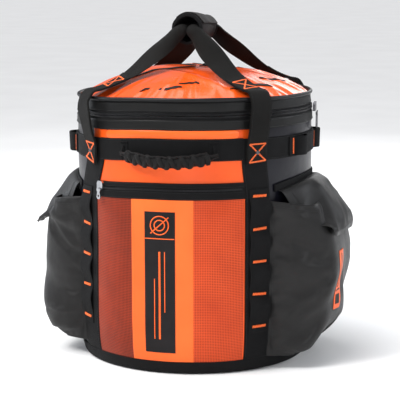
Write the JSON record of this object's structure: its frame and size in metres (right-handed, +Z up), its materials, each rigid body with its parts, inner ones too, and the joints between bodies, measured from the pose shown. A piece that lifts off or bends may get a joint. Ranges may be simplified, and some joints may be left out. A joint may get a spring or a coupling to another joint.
{
  "type": "rope storage bag",
  "caption": "Stiff round drum bag with a hinged domed lid, rim zip, side pockets with flaps, webbing columns, carry loops and shoulder straps for storing rope.",
  "frame": {"origin": "centre of the flat underside of the base", "axes": "+Z up through the lid, front pocket towards -Y, shoulder straps towards +Y"},
  "size_m": [0.5615, 0.4735, 0.5832],
  "materials": {
    "orange_coated": "gloss coated",
    "orange_lid": "gloss coated",
    "black_coated": "semi-gloss coated",
    "black_webbing": "woven matte",
    "carry_webbing": "woven matte",
    "orange_thread": "stitched",
    "mesh_orange": "ripstop mesh",
    "badge": "printed patch",
    "black_pocket": "matte woven nylon",
    "zip_coil": "moulded",
    "zip_metal": "polished",
    "rivet": "blackened",
    "liner": "coated",
    "board": "sheet",
    "pad_mesh": "spacer mesh",
    "buckle": "moulded",
    "wrap_fabric": "padded",
    "grip_cord": "braided cord",
    "piping": "satin"
  },
  "bodies": {
    "drum": {"base_panel": "black_coated", "base_board": "board", "base_binding": "black_coated", "front_panel": "orange_coated", "right_side_panel": "black_coated", "back_panel": "black_coated", "left_side_panel": "black_coated", "wall_liner": "liner", "rope_anchor_loop": "black_webbing", "front_mesh_left": "mesh_orange", "front_mesh_right": "mesh_orange", "front_strip": "orange_coated", "front_badge": "badge", "pocket_zip_tape": "black_coated", "pocket_zip_coil": "zip_coil", "column_webbing_front": "black_webbing", "column_webbing_back": "black_webbing", "daisy_chain_front": "black_webbing", "daisy_chain_back": "black_webbing", "column_bartacks": "orange_thread", "hourglass_stitches": "orange_thread", "column_rivets": "rivet", "front_band": "black_webbing", "front_trim": "orange_coated", "right_side_band": "black_webbing", "left_side_band": "black_webbing", "back_band": "black_webbing", "right_gear_loops": "black_webbing", "left_gear_loops": "black_webbing", "zip_band": "black_coated", "lower_zip_coil": "zip_coil", "lid_hinge_tape": "black_coated", "right_pocket": "black_pocket", "left_pocket": "black_pocket", "pocket_hems": "black_pocket", "back_pad": "pad_mesh", "right_shoulder_strap": "pad_mesh", "left_shoulder_strap": "pad_mesh", "strap_tails": "black_webbing", "strap_adjusters": "buckle", "handle_anchors": "black_webbing"},
    "lid": {"lid_dome": "orange_lid", "lid_side_band": "black_coated", "lid_piping": "piping", "upper_zip_coil": "zip_coil", "lid_tab": "black_webbing"},
    "left_loop": {"carry_webbing_left": "carry_webbing"},
    "right_loop": {"carry_webbing_right": "carry_webbing", "handle_wrap": "wrap_fabric"},
    "wrap_flap": {"handle_wrap_flap": "wrap_fabric"},
    "front_handle": {"front_handle_grip": "grip_cord", "front_handle_cord": "grip_cord"},
    "slider_a": {"lid_slider_a": "zip_metal"},
    "slider_b": {"lid_slider_b": "zip_metal"},
    "pull_a": {"lid_pull_a": "zip_metal"},
    "pull_b": {"lid_pull_b": "zip_metal"},
    "pocket_slider": {"pocket_slider": "zip_metal"},
    "pocket_pull": {"pocket_pull": "zip_metal"},
    "right_flap": {"right_flap": "black_pocket"},
    "left_flap": {"left_flap": "black_pocket"}
  },
  "joints": [
    {"name": "lid_open", "type": "hinge", "parent": "drum", "child": "lid", "pos_m": [0, 0.2036, 0.4245], "axis": [-1, 0, 0], "range_deg": [0, 78]},
    {"name": "left_loop_swing", "type": "hinge", "parent": "drum", "child": "left_loop", "pos_m": [-0.151, 0, 0.386], "axis": [0, -1, 0], "range_deg": [0, 163.8], "deforming": ["carry_webbing_left"]},
    {"name": "right_loop_swing", "type": "hinge", "parent": "drum", "child": "right_loop", "pos_m": [0.151, 0, 0.386], "axis": [0, 1, 0], "range_deg": [0, 163.8], "deforming": ["carry_webbing_right"]},
    {"name": "wrap_flap_open", "type": "hinge", "parent": "right_loop", "child": "wrap_flap", "pos_m": [-0.0107, 0, 0.57873], "axis": [0, -1, 0], "range_deg": [0, 120]},
    {"name": "front_handle_swing", "type": "hinge", "parent": "drum", "child": "front_handle", "pos_m": [0.00773, -0.19234, 0.372], "axis": [-0.9992, -0.0401, 0], "range_deg": [0, 65]},
    {"name": "lid_slider_a_run", "type": "hinge", "parent": "drum", "child": "slider_a", "pos_m": [0, 0, 0.424], "axis": [0, 0, 1], "range_deg": [-237, 0]},
    {"name": "lid_slider_b_run", "type": "hinge", "parent": "drum", "child": "slider_b", "pos_m": [0, 0, 0.424], "axis": [0, 0, 1], "range_deg": [0, 43]},
    {"name": "pocket_slider_run", "type": "hinge", "parent": "drum", "child": "pocket_slider", "pos_m": [0, 0, 0.3055], "axis": [0, 0, 1], "range_deg": [0, 68]},
    {"name": "lid_pull_a_lift", "type": "hinge", "parent": "slider_a", "child": "pull_a", "pos_m": [0.20915, 0.01646, 0.4165], "axis": [0.0785, -0.9969, 0], "range_deg": [0, 120]},
    {"name": "lid_pull_b_lift", "type": "hinge", "parent": "slider_b", "child": "pull_b", "pos_m": [0.20692, 0.03463, 0.4165], "axis": [0.165, -0.9863, 0], "range_deg": [0, 120]},
    {"name": "pocket_pull_lift", "type": "hinge", "parent": "pocket_slider", "child": "pocket_pull", "pos_m": [-0.11427, -0.17595, 0.3005], "axis": [-0.8387, 0.5446, 0], "range_deg": [0, 120]},
    {"name": "right_flap_lift", "type": "hinge", "parent": "drum", "child": "right_flap", "pos_m": [0.2034, 0, 0.309], "axis": [0, -1, 0], "range_deg": [0, 95]},
    {"name": "left_flap_lift", "type": "hinge", "parent": "drum", "child": "left_flap", "pos_m": [-0.2034, 0, 0.309], "axis": [0, 1, 0], "range_deg": [0, 95]}
  ],
  "couplings": [
    {"joint": "left_loop_swing", "follows": "lid_open", "ratio": 2.1},
    {"joint": "right_loop_swing", "follows": "lid_open", "ratio": 2.1}
  ]
}
